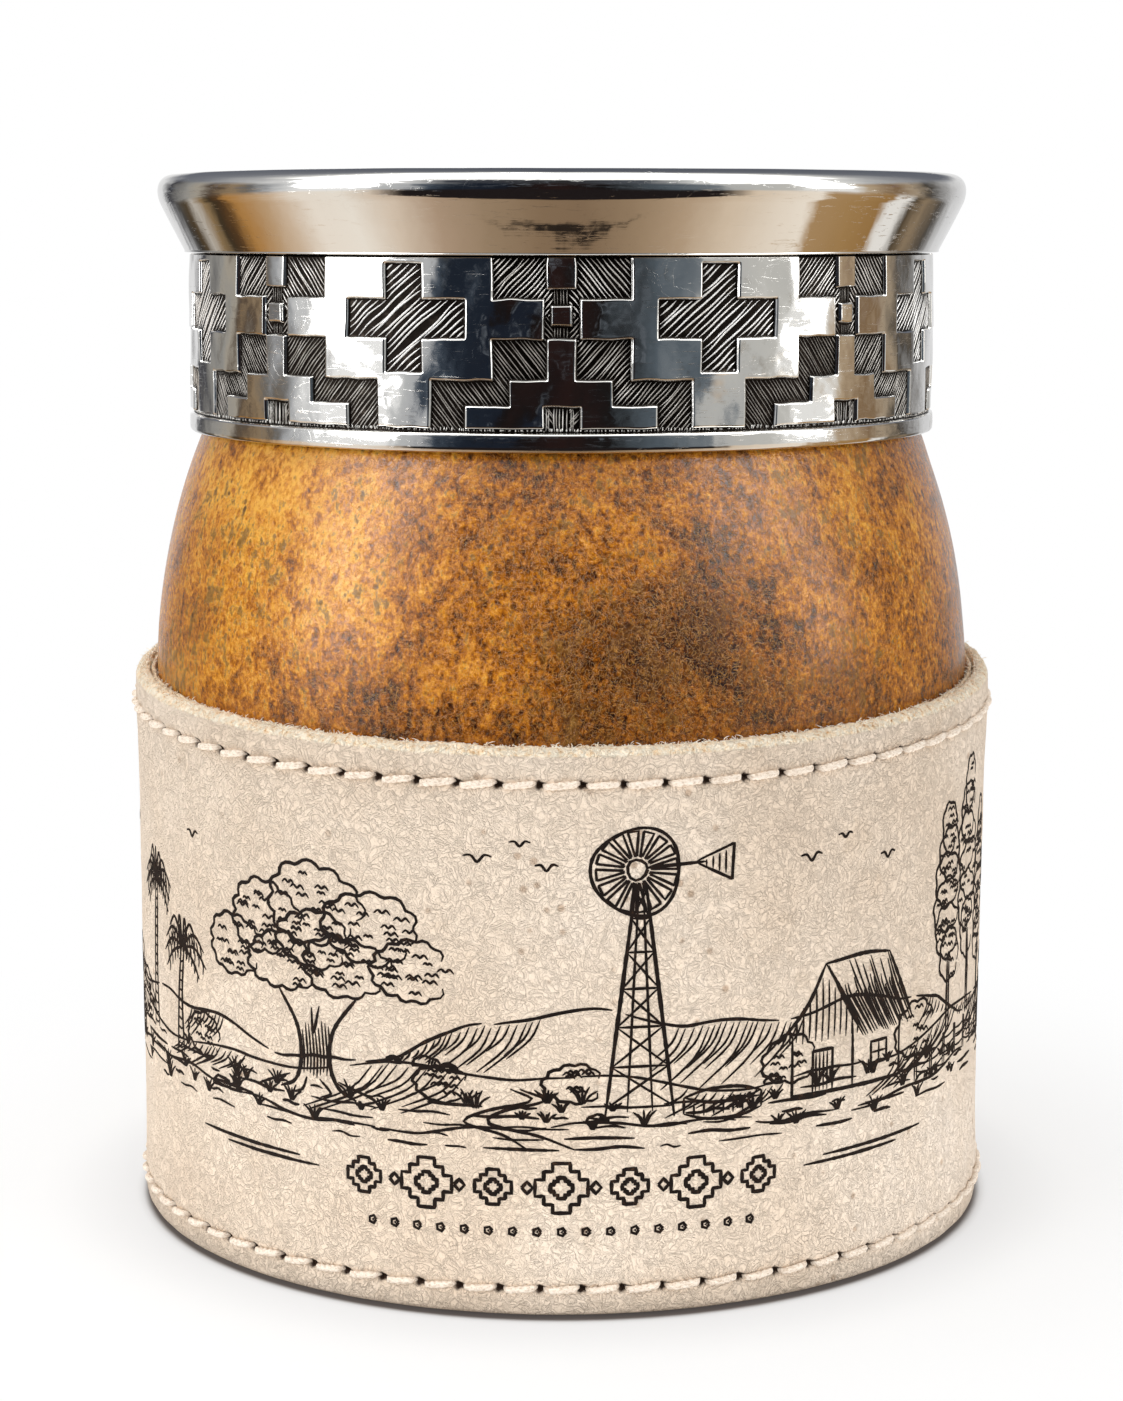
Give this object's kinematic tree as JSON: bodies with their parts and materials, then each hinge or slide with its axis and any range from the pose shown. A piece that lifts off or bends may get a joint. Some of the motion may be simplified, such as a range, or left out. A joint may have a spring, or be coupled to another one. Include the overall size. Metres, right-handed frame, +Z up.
{
  "type": "mate cup",
  "caption": "Gourd cup for mate with a flared metal rim, a chiselled stepped band and a sewn leather sleeve and base.",
  "frame": {"origin": "on the table, under the cup's axis, in the plane of the base's underside", "axes": "+Z up along the cup's axis, through the mouth; -Y is the front that faces the viewer; +X is to the viewer's right"},
  "size_m": [0.0978, 0.0978, 0.1162],
  "materials": {
    "gourd_shell": "varnished amber-brown calabash with darker mottling",
    "rim_collar": "mirror-polished nickel silver",
    "chiselled_band": "polished relief over blackened chiselled ground",
    "mouth_liner": "satin nickel silver",
    "ferrule_bedding": "dark resin",
    "leather_sleeve": "matt natural undyed leather with dark engraved line work",
    "sleeve_lining": "raw thin leather",
    "leather_base": "matt natural leather",
    "seat_pad": "felt",
    "top_stitching": "waxed ivory thread",
    "bottom_stitching": "waxed ivory thread"
  },
  "bodies": {
    "root": {"gourd_shell": "gourd_shell", "rim_collar": "rim_collar", "chiselled_band": "chiselled_band", "mouth_liner": "mouth_liner", "ferrule_bedding": "ferrule_bedding", "leather_sleeve": "leather_sleeve", "sleeve_lining": "sleeve_lining", "leather_base": "leather_base", "seat_pad": "seat_pad", "top_stitching": "top_stitching", "bottom_stitching": "bottom_stitching"}
  },
  "joints": []
}
